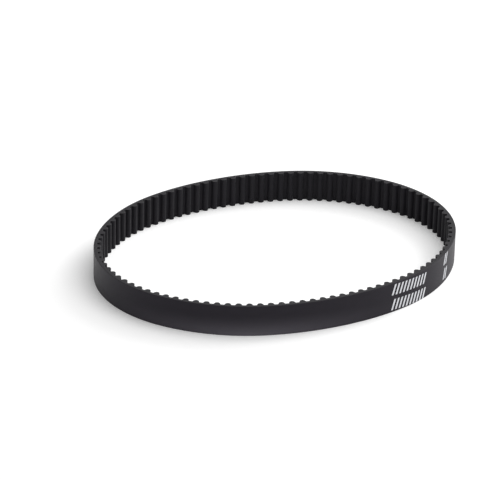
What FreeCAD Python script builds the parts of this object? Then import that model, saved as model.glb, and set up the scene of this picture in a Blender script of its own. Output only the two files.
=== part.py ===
"""Closed-loop rubber timing belt: 2 mm pitch, 100 teeth, 6 mm wide.

A moulded belt is four materials in one continuous loop: black rubber that forms the back and the
tooth cores, two glass-fibre cords wound side by side through it on the pitch line, and a thin nylon
facing bonded over the toothed side. The loop bends at the lands, the thin places between teeth, so
it is drawn as 17 links, cut at lands, that hinge on the pitch line. Each link is a rubber body, the
lengths of cord that cross it and its strip of facing, and each of these is a node of its own. The
cords are moulded in, and the rubber's solid is left whole where they run through it.

The loop stands on its lower edge. The origin is at the centre of the loop on that edge, +Z runs
across the width and +X along the long axis of the slightly oval shape that a free belt rests in.
"""

import FreeCAD
import Part

import math
import os

# Driving dimensions, in millimetres
TOOTH_COUNT = 100
PITCH = 2.0
WIDTH = 6.0
THICKNESS = 1.38  # over the teeth
TOOTH_HEIGHT = 0.75
PITCH_LINE_DEPTH = 0.254  # from the land's surface up to the cords' centre line
FACING = 0.09  # nylon facing
OVALITY = 0.41  # share by which the curvature rises at the long ends and falls at the flat sides

# Tooth section, measured from the land's surface at the tooth's centre
TIP_RADIUS = 0.555
FLANK_RADIUS = 1.0
FLANK_CENTRE = 0.4  # each flank's arc is struck from this far beyond the tooth's centre
ROOT_RADIUS = 0.15

# Glass-fibre cords
CORD_DIAMETER = 0.25
CORD_SPACING = 0.6
CORD_COVER = 0.05  # least rubber between a whole cord and the belt's side
WOUND_TOGETHER = 2  # one cord twisted left and one twisted right

# Bends: where the links meet, in teeth from the +X end, repeated in each quarter of the loop
BENDS_IN_QUARTER = (2.5, 7.5, 17.5, 22.5)
JOIN = 62.5  # where the loop is opened: its own bend never changes there
RIDGE_GAP = 0.02  # between two links, on the pitch line
FACE_RELIEF = math.radians(7.5)  # how far each end face leans back from that ridge, both ways

# Worked out from those
LENGTH = TOOTH_COUNT * PITCH
ROUND_RADIUS = LENGTH / (2 * math.pi)
BACK = THICKNESS - TOOTH_HEIGHT - PITCH_LINE_DEPTH  # rubber outside the pitch line
WIND_RISE = WOUND_TOGETHER * CORD_SPACING / LENGTH  # how fast the cords climb across the width


def normal_angle(teeth):
    """Direction of the belt's outward normal, in radians, at a bend counted in teeth from +X."""
    turn = teeth * PITCH / ROUND_RADIUS
    return turn + OVALITY / 2 * math.sin(2 * turn)


def direction(angle):
    return FreeCAD.Vector(math.cos(angle), math.sin(angle), 0)


def link_ends():
    """Where links meet, as (teeth from +X, outward normal's angle), counterclockwise from the join."""
    quarters = (TOOTH_COUNT / 4 * turn for turn in range(8))
    bends = sorted(quarter + bend for quarter in quarters for bend in BENDS_IN_QUARTER)
    bends = [bend for bend in bends if JOIN < bend < JOIN + TOOTH_COUNT]
    # the join halves a link, which is one arc
    half_link = bends[0] - JOIN
    at_join = (normal_angle(JOIN - half_link) + normal_angle(JOIN + half_link)) / 2
    ends = [(bend, normal_angle(bend)) for bend in bends]
    return [(JOIN, at_join)] + ends + [(JOIN + TOOTH_COUNT, at_join + 2 * math.pi)]


def link_arcs():
    """Each link as an arc of the pitch line: (first end in teeth, teeth, radius, centre, mid angle)."""
    arcs = []
    corners = {}
    corner = FreeCAD.Vector(0, 0, 0)
    ends = link_ends()
    for (first, start), (last, end) in zip(ends[:-1], ends[1:]):
        radius = (last - first) * PITCH / (end - start)
        centre = corner - direction(start) * radius
        corners[first] = corner
        arcs.append((first, round(last - first), radius, centre, (start + end) / 2))
        corner = centre + direction(end) * radius
    # bends half a loop apart lie opposite each other across the middle
    bend = ends[1][0]
    middle = (corners[bend] + corners[bend + TOOTH_COUNT / 2]) / 2
    return [(first, teeth, radius, centre - middle, mid) for first, teeth, radius, centre, mid in arcs]


def bent(radius, along, depth):
    """A point of the straight belt's side view, bent round the link's radius. depth is towards the teeth."""
    return direction(along / radius) * (radius - depth)


def tooth_arcs(offset):
    """Half a tooth's arcs, land to tip, as (start, middle, end) points of (along, height above the land).

    offset shrinks the section evenly, from the facing's surface at 0 to the rubber's at FACING.
    """
    tip_centre = TOOTH_HEIGHT - TIP_RADIUS
    root_along = FLANK_CENTRE - math.sqrt((FLANK_RADIUS + ROOT_RADIUS) ** 2 - ROOT_RADIUS**2)
    to_root = math.atan2(ROOT_RADIUS, root_along - FLANK_CENTRE)
    to_tip = math.atan2(tip_centre, -FLANK_CENTRE)

    def polar(centre_along, centre_height, radius, angle):
        return (centre_along + radius * math.cos(angle), centre_height + radius * math.sin(angle))

    def arc(centre_along, centre_height, radius, start, end):
        angles = (start, (start + end) / 2, end)
        return [polar(centre_along, centre_height, radius, a) for a in angles]

    root = arc(root_along, ROOT_RADIUS, ROOT_RADIUS + offset, -math.pi / 2, to_root - math.pi)
    flank = arc(FLANK_CENTRE, 0, FLANK_RADIUS - offset, to_root, to_tip)
    tip = arc(0, tip_centre, TIP_RADIUS - offset, to_tip, math.pi / 2)
    return [root, flank, tip]


def toothed_side(radius, teeth, offset, end_along):
    """Edges of one surface of the toothed side of a link, from its first end face to its last."""
    land = PITCH_LINE_DEPTH - offset
    edges = []

    def curve(points):
        edges.append(Part.Arc(*[bent(radius, along, land + height) for along, height in points]).toShape())

    def flat(start, end):
        edges.append(
            Part.Arc(
                bent(radius, start, land),
                bent(radius, (start + end) / 2, land),
                bent(radius, end, land),
            ).toShape()
        )

    half = tooth_arcs(offset)
    root_along = -half[0][0][0]
    before = -end_along
    for index in range(teeth):
        middle = (index - (teeth - 1) / 2) * PITCH
        flat(before, middle - root_along)
        for points in half:
            curve([(middle + along, height + offset) for along, height in points])
        for points in reversed(half):
            curve([(middle - along, height + offset) for along, height in reversed(points)])
        before = middle + root_along
    flat(before, end_along)
    return edges


def end_at(half_length, depth):
    """How far along its arc a link's end face lies at a depth from the pitch line."""
    return half_length - RIDGE_GAP / 2 - abs(depth) * math.tan(FACE_RELIEF)


def prism(edges):
    """The closed outline drawn by these edges, carried across the belt's width."""
    wire = Part.Wire(Part.sortEdges(edges)[0])
    return Part.Face(wire).extrude(FreeCAD.Vector(0, 0, WIDTH))


def end_lines(radius, half_length, depths):
    """Straight edges down both end faces of a link, through these depths in turn."""
    edges = []
    for side in (-1, 1):
        points = [bent(radius, side * end_at(half_length, d), d) for d in depths]
        edges += [Part.makeLine(a, b) for a, b in zip(points[:-1], points[1:])]
    return edges


def rubber_body(radius, teeth):
    """Back and tooth cores of a link in one piece."""
    half_length = teeth * PITCH / 2
    inner = PITCH_LINE_DEPTH - FACING
    outer_end = end_at(half_length, -BACK)
    back = Part.Arc(
        bent(radius, -outer_end, -BACK),
        bent(radius, 0, -BACK),
        bent(radius, outer_end, -BACK),
    ).toShape()
    side = toothed_side(radius, teeth, FACING, end_at(half_length, inner))
    return prism([back] + side + end_lines(radius, half_length, (-BACK, 0, inner)))


def nylon_facing(radius, teeth):
    """Fabric over the lands and teeth of a link."""
    half_length = teeth * PITCH / 2
    inner = PITCH_LINE_DEPTH - FACING
    surface = toothed_side(radius, teeth, 0, end_at(half_length, PITCH_LINE_DEPTH))
    bonded = toothed_side(radius, teeth, FACING, end_at(half_length, inner))
    return prism(surface + bonded + end_lines(radius, half_length, (inner, PITCH_LINE_DEPTH)))


def cord_tubes(radius, teeth, wound_before):
    """The lengths of cord that cross a link whole, a little longer than the link.

    wound_before is the length of belt from the join to the middle of the link.
    """
    half_length = teeth * PITCH / 2
    cord_radius = CORD_DIAMETER / 2
    half_turn = math.degrees((half_length + PITCH) / radius)
    disc = Part.Face(
        Part.Wire(
            Part.makeCircle(cord_radius, FreeCAD.Vector(radius, 0, 0), FreeCAD.Vector(0, 1, 0))
        )
    )
    disc.rotate(FreeCAD.Vector(0, 0, 0), FreeCAD.Vector(0, 0, 1), -half_turn)
    tube = disc.revolve(FreeCAD.Vector(0, 0, 0), FreeCAD.Vector(0, 0, 1), 2 * half_turn)
    tube.rotate(FreeCAD.Vector(0, 0, 0), FreeCAD.Vector(1, 0, 0), math.degrees(WIND_RISE))
    reach = cord_radius + CORD_COVER + half_length * WIND_RISE
    tubes = []
    height = CORD_SPACING / 2 + wound_before * WIND_RISE - WOUND_TOGETHER * CORD_SPACING
    while height <= WIDTH - reach:
        if height >= reach:
            tubes.append(tube.translated(FreeCAD.Vector(0, 0, height)))
        height += CORD_SPACING
    return tubes


def place(shape, centre, angle):
    """Moves a link from its own arc's centre to its place in the loop."""
    shape.rotate(FreeCAD.Vector(0, 0, 0), FreeCAD.Vector(0, 0, 1), math.degrees(angle))
    shape.translate(centre)
    return shape


def save(shape, name):
    shape.exportStep(f"parts/{name}.step")


def main():
    os.makedirs("parts", exist_ok=True)
    for number, (first, teeth, radius, centre, angle) in enumerate(link_arcs(), 1):
        rubber = rubber_body(radius, teeth)
        wound_before = (first - JOIN + teeth / 2) * PITCH
        tubes = cord_tubes(radius, teeth, wound_before)
        cords = Part.makeCompound([tube.common(rubber) for tube in tubes])
        save(place(rubber, centre, angle), f"rubber_link_{number:02d}")
        save(place(cords, centre, angle), f"glass_cords_{number:02d}")
        save(place(nylon_facing(radius, teeth), centre, angle), f"nylon_facing_{number:02d}")


main()
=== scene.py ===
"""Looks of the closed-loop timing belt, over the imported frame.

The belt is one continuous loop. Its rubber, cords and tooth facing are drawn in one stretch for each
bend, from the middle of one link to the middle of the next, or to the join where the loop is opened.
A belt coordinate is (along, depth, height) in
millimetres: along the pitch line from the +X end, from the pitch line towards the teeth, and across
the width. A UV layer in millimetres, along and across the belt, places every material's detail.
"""

import math

import bmesh
import bpy
from mathutils import Matrix, Vector


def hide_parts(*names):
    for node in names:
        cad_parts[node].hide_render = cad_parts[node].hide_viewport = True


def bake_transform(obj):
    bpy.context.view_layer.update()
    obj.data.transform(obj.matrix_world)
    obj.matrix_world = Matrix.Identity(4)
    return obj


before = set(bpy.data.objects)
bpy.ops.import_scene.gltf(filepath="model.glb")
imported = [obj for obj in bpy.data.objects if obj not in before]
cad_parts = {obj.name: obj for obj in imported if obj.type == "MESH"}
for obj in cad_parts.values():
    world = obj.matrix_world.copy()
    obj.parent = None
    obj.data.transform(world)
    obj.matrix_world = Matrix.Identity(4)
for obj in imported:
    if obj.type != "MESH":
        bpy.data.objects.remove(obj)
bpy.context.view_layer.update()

MM = 0.001

# The belt, as in the CAD model
TOOTH_COUNT = 100
PITCH = 2.0
WIDTH = 6.0
THICKNESS = 1.38
TOOTH_HEIGHT = 0.75
LAND_DEPTH = 0.254
FACING = 0.09
OVALITY = 0.41
TIP_RADIUS = 0.555
FLANK_RADIUS = 1.0
FLANK_CENTRE = 0.4
ROOT_RADIUS = 0.15
CORD_DIAMETER = 0.25
CORD_SPACING = 0.6
CORD_COVER = 0.05
WOUND_TOGETHER = 2
QUARTERS = 4
BENDS_IN_QUARTER = (2.5, 7.5, 17.5, 22.5)  # in teeth from the quarter's start
JOIN = 62.5  # in teeth from the +X end

BACK_DEPTH = TOOTH_HEIGHT + LAND_DEPTH - THICKNESS
LENGTH = TOOTH_COUNT * PITCH
ROUND_RADIUS = LENGTH / (2 * math.pi)
WIND_RISE = WOUND_TOGETHER * CORD_SPACING / LENGTH


# ---------------------------------------------------------------- the pitch line


def normal_angle(teeth):
    """Direction of the belt's outward normal, in radians, so many teeth from the +X end."""
    turn = teeth * PITCH / ROUND_RADIUS
    return turn + OVALITY / 2 * math.sin(2 * turn)


def direction(angle):
    return Vector((math.cos(angle), math.sin(angle), 0))


class Arc:
    """A stretch of the pitch line between two bends."""

    def __init__(self, first, last, start, end, corner):
        self.first, self.last = first, last
        self.start, self.end = start, end
        self.radius = (last - first) * PITCH / (end - start)
        self.centre = corner - direction(start) * self.radius

    def angle(self, teeth):
        share = (teeth - self.first) / (self.last - self.first)
        return self.start + (self.end - self.start) * share

    def point(self, along, depth, height):
        normal = direction(self.angle(along / PITCH))
        return self.centre + normal * (self.radius - depth) + Vector((0, 0, height))


def pitch_line():
    """The arcs round the loop, from the first bend before the join."""
    quarters = [TOOTH_COUNT / QUARTERS * count for count in range(2 * QUARTERS)]
    bends = [quarter + bend for quarter in quarters for bend in BENDS_IN_QUARTER]
    before = max(bend for bend in bends if bend < JOIN)
    bends = [bend for bend in bends if before <= bend <= before + TOOTH_COUNT]
    arcs = []
    corner = Vector((0, 0, 0))
    for first, last in zip(bends[:-1], bends[1:]):
        arc = Arc(first, last, normal_angle(first), normal_angle(last), corner)
        arcs.append(arc)
        corner = arc.point(last * PITCH, 0, 0)
    opposite = len(arcs) // 2
    first_corner = arcs[0].point(arcs[0].first * PITCH, 0, 0)
    far_corner = arcs[opposite].point(arcs[opposite].first * PITCH, 0, 0)
    middle = (first_corner + far_corner) / 2
    for arc in arcs:
        arc.centre = arc.centre - middle
    return arcs


ARCS = pitch_line()


def arc_at(along):
    """The arc at a place along the belt, and that place wrapped into the arcs' own count."""
    teeth = along / PITCH
    while teeth < ARCS[0].first:
        teeth += TOOTH_COUNT
    while teeth > ARCS[-1].last:
        teeth -= TOOTH_COUNT
    return next(arc for arc in ARCS if teeth <= arc.last + 1e-9), teeth * PITCH


def place(along, depth, height):
    """A belt coordinate as a point of the shared frame, in metres."""
    arc, wrapped = arc_at(along)
    return arc.point(wrapped, depth, height) * MM


# ---------------------------------------------------------------- bends and their stretches


LINK_COUNT = QUARTERS * len(BENDS_IN_QUARTER) + 1  # one link is cut in two at the join
LINK_BODIES = [f"link_{number:02d}" for number in range(1, LINK_COUNT + 1)]
SHORT_LINK = 5  # teeth; the links at 45, 135 and 315 degrees and the opened one are twice as long


class Stretch:
    """The belt round one bend, from the middle of the link before it to the middle of the next.

    All bends flex in step. An evenly curving belt passes through every bend, but it bows away from the
    middle of a rigid short link, by the same amount in the stretches on both sides. So a stretch's
    weight runs past its ends there, and it is exactly 0 or 1 only at the middle of a long link.
    """

    def __init__(self, bend, before, after, bodies):
        self.bend = bend
        self.bodies = bodies
        self.first = self.middle(before)
        self.last = self.middle(after)
        low = self.end_weight(self.first, before)
        high = 1 - self.end_weight(self.last, after)
        self.tongue_before, self.tongue_after = low > 0, high < 1
        # the blend's own start and end, in millimetres along the belt from the bend
        share_low, share_high = smoothstep_inverse(low), smoothstep_inverse(high)
        reach = (self.last - self.first) * PITCH / (share_high - share_low)
        self.blend_start = (self.first - bend) * PITCH - share_low * reach
        self.blend_end = self.blend_start + reach

    def middle(self, far_bend):
        """Where the stretch ends in the link that reaches from this bend to far_bend."""
        if far_bend in (JOIN, JOIN + TOOTH_COUNT):
            return far_bend
        return (self.bend + far_bend) / 2

    def flex(self):
        """How fast this bend turns as the loop's ovality grows, in radians."""
        return abs(oval_sine(self.last) - oval_sine(self.first)) / 2

    def end_weight(self, middle, far_bend):
        """Share of the bend that is left at this end, where an evenly curving belt bows off the link."""
        if abs(far_bend - self.bend) > SHORT_LINK or far_bend in (JOIN, JOIN + TOOTH_COUNT):
            return 0
        link = SHORT_LINK * PITCH
        bow = abs(math.cos(2 * middle * PITCH / ROUND_RADIUS)) / ROUND_RADIUS * link**2 / 8
        return bow / (self.flex() * link / 2)

    def bend_piece(self, piece):
        """Bakes a piece's placement into its mesh. The bend's point and the direction along the belt
        there are worked out, but nothing uses them.
        """
        bend = place(self.bend * PITCH, 0, 0)
        along = place(self.bend * PITCH + 0.5, 0, 0) - place(self.bend * PITCH - 0.5, 0, 0)
        along = along.normalized() * MM
        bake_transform(piece)


def oval_sine(teeth):
    """Twice the rate at which the normal's angle here grows with the loop's ovality."""
    return math.sin(2 * teeth * PITCH / ROUND_RADIUS)


def smoothstep_inverse(weight):
    """Where the blend's own easing curve, 3x^2 - 2x^3, has this weight."""
    return 0.5 - math.sin(math.asin(1 - 2 * weight) / 3)


def bend_stretches():
    ends = [JOIN] + [arc.last for arc in ARCS] + [JOIN + TOOTH_COUNT]
    return [
        Stretch(ends[index + 1], ends[index], ends[index + 2], LINK_BODIES[index : index + 2])
        for index in range(len(ends) - 2)
    ]


STRETCHES = bend_stretches()


# ---------------------------------------------------------------- tooth outline

# Steps of each curve on one side of a tooth
LAND_STEPS = 3
ROOT_STEPS = 3
FLANK_STEPS = 3
TIP_STEPS = 5


def tooth_columns():
    """One pitch of the toothed side, from the middle of one land to the next, and its length.

    Each entry is ((along, depth) on the facing, (along, depth) on the rubber, length run on the facing).
    """
    tip_centre = TOOTH_HEIGHT - TIP_RADIUS
    root_along = FLANK_CENTRE - math.sqrt((FLANK_RADIUS + ROOT_RADIUS) ** 2 - ROOT_RADIUS**2)
    to_root = math.atan2(ROOT_RADIUS, root_along - FLANK_CENTRE)
    to_tip = math.atan2(tip_centre, -FLANK_CENTRE)

    half = []

    def arc(centre_along, centre_height, facing, rubber, start, end, steps):
        for step in range(steps + 1):
            angle = start + (end - start) * step / steps
            cosine, sine = math.cos(angle), math.sin(angle)
            half.append(
                (
                    (centre_along + facing * cosine, centre_height + facing * sine),
                    (centre_along + rubber * cosine, centre_height + rubber * sine),
                )
            )

    for step in range(LAND_STEPS):
        along = -PITCH / 2 + (root_along + PITCH / 2) * step / LAND_STEPS
        half.append(((along, 0), (along, -FACING)))
    root_rubber = ROOT_RADIUS + FACING
    root_end = to_root - math.pi
    arc(root_along, ROOT_RADIUS, ROOT_RADIUS, root_rubber, -math.pi / 2, root_end, ROOT_STEPS)
    half.pop()  # the next arc starts at the same point
    arc(FLANK_CENTRE, 0, FLANK_RADIUS, FLANK_RADIUS - FACING, to_root, to_tip, FLANK_STEPS)
    half.pop()
    arc(0, tip_centre, TIP_RADIUS, TIP_RADIUS - FACING, to_tip, math.pi / 2, TIP_STEPS)
    mirrored = [((-a, b), (-c, d)) for (a, b), (c, d) in reversed(half[1:-1])]
    columns = []
    run = 0.0
    before = half[0][0]
    for outer, inner in half + mirrored:
        run += math.dist(before, outer)
        before = outer
        columns.append(
            ((outer[0], LAND_DEPTH + outer[1]), (inner[0], LAND_DEPTH + inner[1]), run)
        )
    return columns, run + math.dist(before, (PITCH / 2, 0))


TOOTH_COLUMNS, TOOTH_RUN = tooth_columns()


TONGUE_SUNK = 0.012  # how far a tongue lies under the surfaces round it
JOIN_GAP = 0.0005  # between the belt's two ends at the join, so that they never touch


def shifted(column, along):
    """A column moved along the belt."""
    facing, rubber, run, sunk = column
    return (facing[0] + along, facing[1]), (rubber[0] + along, rubber[1]), run, sunk


def belt_columns(stretch):
    """Columns of the toothed side along a stretch, whose ends lie at lands or at tooth middles.

    Each is (facing point, rubber point, length run along the facing, how far it is sunk). An end in the
    middle of a short link has a sunk tongue, which stays hidden in the next stretch until the belt
    flexes and the seam would gape there.
    """
    nearly = 1e-6
    columns = []
    for tooth in range(math.floor(stretch.first) - 1, math.ceil(stretch.last) + 2):
        shift = tooth * PITCH
        for facing, rubber, run in TOOTH_COLUMNS:
            outer = (shift + facing[0], facing[1])
            core = (shift + rubber[0], rubber[1])
            columns.append((outer, core, tooth * TOOTH_RUN + run))
    along = [outer[0] / PITCH for outer, core, run in columns]
    start = next(i for i, station in enumerate(along) if station > stretch.first - nearly)
    end = next(i for i, station in enumerate(along) if station > stretch.last - nearly)
    kept = [(*column, 0) for column in columns[start : end + 1]]
    if stretch.first == JOIN:
        kept[0] = shifted(kept[0], JOIN_GAP / 2)
    if stretch.last == JOIN + TOOTH_COUNT:
        kept[-1] = shifted(kept[-1], -JOIN_GAP / 2)
    if stretch.tongue_before:
        kept = [(*column, TONGUE_SUNK) for column in columns[start - 1 : start + 1]] + kept
    if stretch.tongue_after:
        kept = kept + [(*column, TONGUE_SUNK) for column in columns[end : end + 2]]
    return kept


# ---------------------------------------------------------------- meshes

BELT_SHARP = 28  # degrees between faces from which an edge is shaded sharp
ROD_SHARP = 50


def make_piece(name, points, faces, uvs, materials, sharp, slots=None):
    """A closed mesh object. uvs holds one belt coordinate for each point, in millimetres."""
    mesh = bpy.data.meshes.new(name)
    mesh.from_pydata([tuple(p) for p in points], [], faces)
    for material in materials:
        mesh.materials.append(material)
    if slots:
        mesh.polygons.foreach_set("material_index", slots)
    shape = bmesh.new()
    shape.from_mesh(mesh)
    bmesh.ops.recalc_face_normals(shape, faces=shape.faces)
    shape.to_mesh(mesh)
    shape.free()
    layer = mesh.uv_layers.new(name="belt")
    layer.data.foreach_set("uv", [value for loop in mesh.loops for value in uvs[loop.vertex_index]])
    mesh.polygons.foreach_set("use_smooth", [True] * len(mesh.polygons))
    mesh.set_sharp_from_angle(angle=math.radians(sharp))
    mesh.update()
    piece = bpy.data.objects.new(name, mesh)
    bpy.context.scene.collection.objects.link(piece)
    return piece


def loft(name, rings, uvs, materials, face_material):
    """A closed mesh through rings of points, capped at both ends.

    uvs match the rings, in millimetres. face_material is each side's slot, once round a ring.
    """
    count = len(rings[0])
    points = [point for ring in rings for point in ring]
    flat_uvs = [uv for ring in uvs for uv in ring]
    faces, slots = [], []
    for i in range(len(rings) - 1):
        for j in range(count):
            k = (j + 1) % count
            faces.append((i * count + j, (i + 1) * count + j, (i + 1) * count + k, i * count + k))
            slots.append(face_material[j])
    last = (len(rings) - 1) * count
    faces.append(tuple(range(count)))
    faces.append(tuple(last + j for j in reversed(range(count))))
    slots += [0, 0]
    return make_piece(name, points, faces, flat_uvs, materials, BELT_SHARP, slots)


CHAMFER = 0.05  # on the back's two edges


def rubber_piece(name, columns, materials):
    """Back and tooth cores of a stretch in one piece. materials are the back's and the cut sides'."""
    rings, uvs = [], []
    for facing, (along, depth), run, sunk in columns:
        back, low, high = BACK_DEPTH + sunk, sunk, WIDTH - sunk
        outline = [
            (back + CHAMFER, low),
            (back, low + CHAMFER),
            (back, WIDTH / 3),
            (back, WIDTH * 2 / 3),
            (back, high - CHAMFER),
            (back + CHAMFER, high),
            (depth, high),
            (depth, low),
        ]
        rings.append([place(along, d, z) for d, z in outline])
        uvs.append([(along, z + d - back if z > low else z - d + back) for d, z in outline])
    return loft(name, rings, uvs, materials, (0, 0, 0, 0, 0, 1, 0, 1))


def facing_piece(name, columns, materials):
    """Fabric over the lands and teeth of a stretch. materials are the weave's and the cut sides'."""
    rings, uvs = [], []
    for (along, depth), (core_along, core_depth), run, sunk in columns:
        low, high = sunk, WIDTH - sunk
        surface = depth - sunk
        rings.append(
            [
                place(core_along, core_depth, high),
                place(along, surface, high),
                place(along, surface, WIDTH * 2 / 3),
                place(along, surface, WIDTH / 3),
                place(along, surface, low),
                place(core_along, core_depth, low),
            ]
        )
        uvs.append([(run, z) for z in (high + FACING, high, WIDTH * 2 / 3, WIDTH / 3, low, low - FACING)])
    return loft(name, rings, uvs, materials, (1, 0, 0, 0, 1, 0))


CORD_SIDES = 10
CORD_STEP = 0.5  # in millimetres along the belt
CORD_SHORT = 0.01  # how far a cord's cut ends stay inside its stretch


def cord_piece(name, first, last, materials):
    """The cords that cross a stretch whole, each a closed tube."""
    start, end = first * PITCH + CORD_SHORT, last * PITCH - CORD_SHORT
    steps = max(2, round((end - start) / CORD_STEP))
    radius = CORD_DIAMETER / 2
    points, faces, uv_of = [], [], []
    wound = ((start + end) / 2 - JOIN * PITCH) * WIND_RISE
    height = CORD_SPACING / 2 + wound - WOUND_TOGETHER * CORD_SPACING
    reach = radius + CORD_COVER + (end - start) / 2 * WIND_RISE
    while height <= WIDTH - reach:
        if height >= reach:
            base = len(points)
            for step in range(steps + 1):
                along = start + (end - start) * step / steps
                z = height + (along - (start + end) / 2) * WIND_RISE
                for side in range(CORD_SIDES):
                    angle = 2 * math.pi * side / CORD_SIDES
                    points.append(place(along, radius * math.cos(angle), z + radius * math.sin(angle)))
                    uv_of.append((along, radius * angle))
            for step in range(steps):
                for side in range(CORD_SIDES):
                    a = base + step * CORD_SIDES
                    b = a + CORD_SIDES
                    nxt = (side + 1) % CORD_SIDES
                    faces.append((a + side, a + nxt, b + nxt, b + side))
            faces.append(tuple(base + side for side in reversed(range(CORD_SIDES))))
            top = base + steps * CORD_SIDES
            faces.append(tuple(top + side for side in range(CORD_SIDES)))
        height += CORD_SPACING
    return make_piece(name, points, faces, uv_of, materials, ROD_SHARP)


# ---------------------------------------------------------------- materials


class Nodes:
    """A node material under construction, with a principled shader already linked up."""

    def __init__(self, name):
        self.material = bpy.data.materials.new(name)
        self.material.use_nodes = True
        self.tree = self.material.node_tree
        self.tree.nodes.clear()
        self.output = self.add("ShaderNodeOutputMaterial")
        self.shader = self.add("ShaderNodeBsdfPrincipled")
        self.link(self.shader, "BSDF", self.output, "Surface")

    def add(self, kind, **properties):
        node = self.tree.nodes.new(kind)
        for key, value in properties.items():
            setattr(node, key, value)
        return node

    def link(self, a, out, b, socket):
        self.tree.links.new(a.outputs[out], b.inputs[socket])

    def belt(self, scale=(1, 1, 1)):
        """Belt coordinates in millimetres, scaled."""
        uv = self.add("ShaderNodeUVMap", uv_map="belt")
        mapping = self.add("ShaderNodeMapping")
        mapping.inputs["Scale"].default_value = scale
        self.link(uv, "UV", mapping, "Vector")
        return mapping

    def noise(self, vector, detail, roughness=0.6):
        node = self.add("ShaderNodeTexNoise")
        node.inputs["Scale"].default_value = 1
        node.inputs["Detail"].default_value = detail
        node.inputs["Roughness"].default_value = roughness
        self.link(vector, "Vector", node, "Vector")
        return node

    def ramp(self, source, out, stops):
        """A colour ramp. stops are (position, colour), or (position, grey level)."""
        node = self.add("ShaderNodeValToRGB")
        elements = node.color_ramp.elements
        while len(elements) < len(stops):
            elements.new(0.5)
        for element, (position, colour) in zip(elements, stops):
            element.position = position
            channels = (colour,) * 3 if isinstance(colour, float) else colour
            element.color = (*channels, 1)
        self.link(source, out, node, "Fac")
        return node

    def bump(self, source, out, strength, distance, normal=None):
        node = self.add("ShaderNodeBump")
        node.inputs["Strength"].default_value = strength
        node.inputs["Distance"].default_value = distance
        self.link(source, out, node, "Height")
        if normal:
            self.link(normal, "Normal", node, "Normal")
        return node


MIX_A, MIX_B, MIX_RESULT = 6, 7, 2  # the colour sockets of a Mix node

PAINTED_GLOW_ALONG = 132.0  # middle of the painted glow, a lighter patch on the back's lower edge that stands in for light from the bright floor, in millimetres
PAINTED_GLOW_REACH = (38.0, 4.4)  # how far the painted glow spreads along the belt and up it
# colour of the painted glow, a painted lighter patch, not a colour of the rubber
PAINTED_GLOW_COLOUR = (0.106, 0.098, 0.116, 1)


def back_rubber():
    """Ground, faintly glossy rubber, nearly black, with fine lines along it, and a painted glow: a
    lighter patch on the lower edge at the front that stands in for light from the bright floor.
    """
    n = Nodes("rubber_back")
    n.shader.inputs["Specular IOR Level"].default_value = 0.22
    tone = n.noise(n.belt((0.35, 0.8, 1)), 5)
    rubber = n.ramp(tone, "Fac", [(0.3, (0.0068, 0.0046, 0.0100)), (0.7, (0.0092, 0.0066, 0.0128))])
    # counted from the painted glow's own middle, so that it runs on across the join
    round_loop = n.add("ShaderNodeVectorMath", operation="WRAP")
    n.link(n.belt(), "Vector", round_loop, 0)
    round_loop.inputs[1].default_value = (PAINTED_GLOW_ALONG + LENGTH / 2, WIDTH, 1)
    round_loop.inputs[2].default_value = (PAINTED_GLOW_ALONG - LENGTH / 2, -WIDTH, -1)
    patch = n.add("ShaderNodeMapping")
    n.link(round_loop, "Vector", patch, "Vector")
    patch.inputs["Scale"].default_value = (1 / PAINTED_GLOW_REACH[0], 1 / PAINTED_GLOW_REACH[1], 1)
    patch.inputs["Location"].default_value = (-PAINTED_GLOW_ALONG / PAINTED_GLOW_REACH[0], 0, 0)
    spread = n.add("ShaderNodeTexGradient", gradient_type="QUADRATIC_SPHERE")
    n.link(patch, "Vector", spread, "Vector")
    # painted light: mixes the lighter colour of the painted glow into the rubber, strongest at the
    # patch's middle
    painted_glow = n.add("ShaderNodeMix", data_type="RGBA")
    n.link(spread, "Fac", painted_glow, "Factor")
    n.link(rubber, "Color", painted_glow, MIX_A)
    painted_glow.inputs[MIX_B].default_value = PAINTED_GLOW_COLOUR
    n.link(painted_glow, MIX_RESULT, n.shader, "Base Color")
    grain = n.noise(n.belt((9, 14, 1)), 6, 0.7)
    rough = n.ramp(grain, "Fac", [(0.3, 0.42), (0.7, 0.56)])
    n.link(rough, "Color", n.shader, "Roughness")
    ground = n.noise(n.belt((1.2, 26, 1)), 4)
    fine = n.bump(grain, "Fac", 0.35, 0.00002)
    scratch = n.bump(ground, "Fac", 0.25, 0.00001, fine)
    n.link(scratch, "Normal", n.shader, "Normal")
    return n.material


def cut_rubber():
    """Knife-cut sides: dull, dusty grey, with fine lines from the blade."""
    n = Nodes("rubber_cut_edge")
    n.shader.inputs["Specular IOR Level"].default_value = 0.3
    tone = n.noise(n.belt((1.5, 6, 1)), 6)
    colour = n.ramp(tone, "Fac", [(0.3, (0.0160, 0.0150, 0.0172)), (0.7, (0.0335, 0.0318, 0.0358))])
    n.link(colour, "Color", n.shader, "Base Color")
    n.shader.inputs["Roughness"].default_value = 0.62
    knife = n.noise(n.belt((1, 22, 1)), 4)
    n.link(n.bump(knife, "Fac", 0.5, 0.00002), "Normal", n.shader, "Normal")
    return n.material


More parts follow.
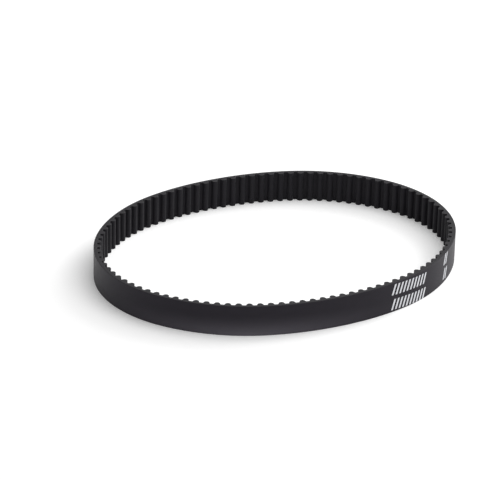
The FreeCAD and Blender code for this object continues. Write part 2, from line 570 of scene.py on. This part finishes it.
def nylon(name, dark, light, specular):
    """Tight plain weave, with threads along and across the belt."""
    n = Nodes(name)
    n.shader.inputs["Specular IOR Level"].default_value = specular
    n.shader.inputs["Sheen Weight"].default_value = 0.04
    n.shader.inputs["Sheen Roughness"].default_value = 0.5
    threads = []
    for direction_name, scale in (("X", 1.35), ("Y", 1.6)):
        thread = n.add("ShaderNodeTexWave", wave_type="BANDS", bands_direction=direction_name)
        thread.inputs["Scale"].default_value = scale
        thread.inputs["Distortion"].default_value = 0.6
        thread.inputs["Detail"].default_value = 1.0
        n.link(n.belt(), "Vector", thread, "Vector")
        threads.append(thread)
    weave = n.add("ShaderNodeMath", operation="MULTIPLY")
    n.link(threads[0], "Fac", weave, 0)
    n.link(threads[1], "Fac", weave, 1)
    colour = n.ramp(weave, "Value", [(0.1, dark), (0.9, light)])
    n.link(colour, "Color", n.shader, "Base Color")
    n.shader.inputs["Roughness"].default_value = 0.62
    n.link(n.bump(weave, "Value", 0.5, 0.00003), "Normal", n.shader, "Normal")
    return n.material


def cord_fibre():
    """Tan glass fibre with the lay of its twisted strands."""
    n = Nodes("glass_cord")
    lay = n.add("ShaderNodeTexWave", wave_type="BANDS", bands_direction="DIAGONAL")
    lay.inputs["Scale"].default_value = 3.0
    lay.inputs["Distortion"].default_value = 0.5
    n.link(n.belt(), "Vector", lay, "Vector")
    colour = n.ramp(lay, "Fac", [(0.2, (0.30, 0.24, 0.15)), (0.8, (0.62, 0.56, 0.42))])
    n.link(colour, "Color", n.shader, "Base Color")
    n.shader.inputs["Roughness"].default_value = 0.5
    n.link(n.bump(lay, "Fac", 0.6, 0.00004), "Normal", n.shader, "Normal")
    return n.material


def white_ink():
    """Matt printing ink, worn thin here and there."""
    n = Nodes("white_ink")
    n.shader.inputs["Specular IOR Level"].default_value = 0.3
    wear = n.noise(n.belt((5, 7, 1)), 5)
    colour = n.ramp(wear, "Fac", [(0.35, (0.55, 0.56, 0.60)), (0.6, (0.80, 0.81, 0.84))])
    n.link(colour, "Color", n.shader, "Base Color")
    n.shader.inputs["Roughness"].default_value = 0.55
    n.link(n.bump(wear, "Fac", 0.3, 0.00001), "Normal", n.shader, "Normal")
    return n.material


RUBBER = back_rubber()
CUT = cut_rubber()
NYLON = nylon("nylon_weave", (0.0055, 0.0048, 0.0070), (0.0200, 0.0182, 0.0250), 0.2)
NYLON_CUT = nylon("nylon_cut_edge", (0.036, 0.0345, 0.038), (0.072, 0.0695, 0.076), 0.3)
CORD = cord_fibre()
INK = white_ink()


# ---------------------------------------------------------------- the belt

for number, stretch in enumerate(STRETCHES, 1):
    columns = belt_columns(stretch)
    rubber = rubber_piece(f"rubber_stretch_{number:02d}", columns, (RUBBER, CUT))
    cords = cord_piece(f"cord_stretch_{number:02d}", stretch.first, stretch.last, (CORD,))
    facing = facing_piece(f"facing_stretch_{number:02d}", columns, (NYLON, NYLON_CUT))
    for piece, slot, node in (
        (rubber, "rubber", "rubber_link"),
        (cords, "cord", "glass_cords"),
        (facing, "facing", "nylon_facing"),
    ):
        stretch.bend_piece(piece)
        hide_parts(*[body.replace("link", node) for body in stretch.bodies])


# ---------------------------------------------------------------- printed marks

INK_PROUD = 0.010
INK_SUNK = 0.010

ROWS = ((3.52, 5.68), (0.42, 2.58))  # foot and head of each row of marks, where it starts
ROW_TILT = -0.05  # the rows sink a little as they run, in millimetres for each millimetre along
ROW_FIRST = 160.6  # where the rows of slanted bars start, in millimetres from the +X end
ROW_BARS = 10
LONE_FIRST = 176.8  # and where the lone pairs of bars do
LONE_ROWS = ((3.75, 5.95), (0.70, 2.90))
LONE_BARS = 2
BAR_WIDTH = 0.42
BAR_SPACING = 0.92
BAR_SLANT = 0.32  # how far a bar's head leans beyond its foot, for each millimetre of height
BAR_STEPS = 6


def slanted_bar(first, foot, head):
    """Cross sections of one slanted bar of ink, foot to head, as (one side, other side, height)."""
    foot, head = max(foot, CHAMFER), min(head, WIDTH - CHAMFER)
    sections = []
    for step in range(BAR_STEPS + 1):
        height = foot + (head - foot) * step / BAR_STEPS
        side = first + BAR_SLANT * (height - foot)
        sections.append((side, side + BAR_WIDTH, height))
    return sections


def bars(first, count, rows):
    """Rows of slanted bars that start at the same place along the belt."""
    made = []
    for foot, head in rows:
        for index in range(count):
            drop = ROW_TILT * index * BAR_SPACING
            made.append(slanted_bar(first + index * BAR_SPACING, foot + drop, head + drop))
    return made


def ink_piece(name, sections_of_bars, material):
    """Closed patches of ink, half sunk in the back."""
    points, faces, uv_of = [], [], []
    for sections in sections_of_bars:
        base = len(points)
        for low, high, z in sections:
            for along, depth in (
                (low, BACK_DEPTH + INK_SUNK),
                (low, BACK_DEPTH - INK_PROUD),
                (high, BACK_DEPTH - INK_PROUD),
                (high, BACK_DEPTH + INK_SUNK),
            ):
                points.append(place(along, depth, z))
                uv_of.append((along, z))
        for step in range(len(sections) - 1):
            for side in range(4):
                a = base + step * 4
                nxt = (side + 1) % 4
                faces.append((a + side, a + 4 + side, a + 4 + nxt, a + nxt))
        faces.append(tuple(base + side for side in range(4)))
        faces.append(tuple(base + (len(sections) - 1) * 4 + side for side in reversed(range(4))))
    piece = make_piece(name, points, faces, uv_of, (material,), ROD_SHARP)
    along = sections_of_bars[0][0][0]
    stretch = next(s for s in STRETCHES if s.first * PITCH <= along <= s.last * PITCH)
    stretch.bend_piece(piece)


ink_piece("printed_rows", bars(ROW_FIRST, ROW_BARS, ROWS), INK)
ink_piece("printed_pairs", bars(LONE_FIRST, LONE_BARS, LONE_ROWS), INK)


# ---------------------------------------------------------------- floor, light and camera

FLOOR_REACH = 3.0  # metres from the belt's centre to each side
FLOOR_DROP = 0.00002  # metres, so that the belt's lower edge and the floor don't coincide

floor_mesh = bpy.data.meshes.new("floor")
floor_corners = [(x * FLOOR_REACH, y * FLOOR_REACH, 0) for x, y in ((-1, -1), (1, -1), (1, 1), (-1, 1))]
floor_mesh.from_pydata(floor_corners, [], [(0, 1, 2, 3)])
floor = bpy.data.objects.new("floor", floor_mesh)
bpy.context.scene.collection.objects.link(floor)
floor.location.z = -FLOOR_DROP
pale = Nodes("pale_floor")
pale.shader.inputs["Base Color"].default_value = (0.93, 0.93, 0.93, 1)
pale.shader.inputs["Roughness"].default_value = 0.9
pale.shader.inputs["Specular IOR Level"].default_value = 0.1
pale.shader.inputs["Emission Color"].default_value = (1, 1, 1, 1)
pale.shader.inputs["Emission Strength"].default_value = 0.15
floor_mesh.materials.append(pale.material)

world = bpy.data.worlds.new("studio")
world.use_nodes = True
world.node_tree.nodes["Background"].inputs["Color"].default_value = (1, 1, 1, 1)
world.node_tree.nodes["Background"].inputs["Strength"].default_value = 0.38
bpy.context.scene.world = world


def softbox(name, location, size, power):
    """A square lamp, in metres and watts, that faces the belt."""
    light = bpy.data.lights.new(name, "AREA")
    light.shape = "SQUARE"
    light.size = size
    light.energy = power
    lamp = bpy.data.objects.new(name, light)
    bpy.context.scene.collection.objects.link(lamp)
    lamp.location = location
    lamp.rotation_euler = (-Vector(location)).to_track_quat("-Z", "Y").to_euler()


softbox("softbox_top", (0.3, -0.1, 0.8), 0.8, 5.0)
softbox("softbox_right", (0.36, 0.06, 0.2), 0.25, 1.0)

# Angles in radians, distances in metres, lens in millimetres
CAMERA_HEADING = 0.4634  # from +Y towards +X
CAMERA_PITCH = 0.4524  # downwards
CAMERA_ROLL = 0.0231
CAMERA_BEARING = 0.4762  # of its place, from -Y towards -X
CAMERA_OUT, CAMERA_UP = 0.53762, 0.26616
LENS = 234.83

camera = bpy.data.objects.new("camera", bpy.data.cameras.new("camera"))
camera.data.lens = LENS
camera.data.sensor_width = 36
camera.data.clip_start = 0.01
camera.matrix_world = (
    Matrix.Translation(
        (
            -CAMERA_OUT * math.sin(CAMERA_BEARING),
            -CAMERA_OUT * math.cos(CAMERA_BEARING),
            CAMERA_UP,
        )
    )
    @ Matrix.Rotation(-CAMERA_HEADING, 4, "Z")
    @ Matrix.Rotation(math.pi / 2 - CAMERA_PITCH, 4, "X")
    @ Matrix.Rotation(CAMERA_ROLL, 4, "Z")
)
bpy.context.scene.collection.objects.link(camera)
bpy.context.scene.camera = camera
bpy.context.scene.view_settings.view_transform = "Standard"
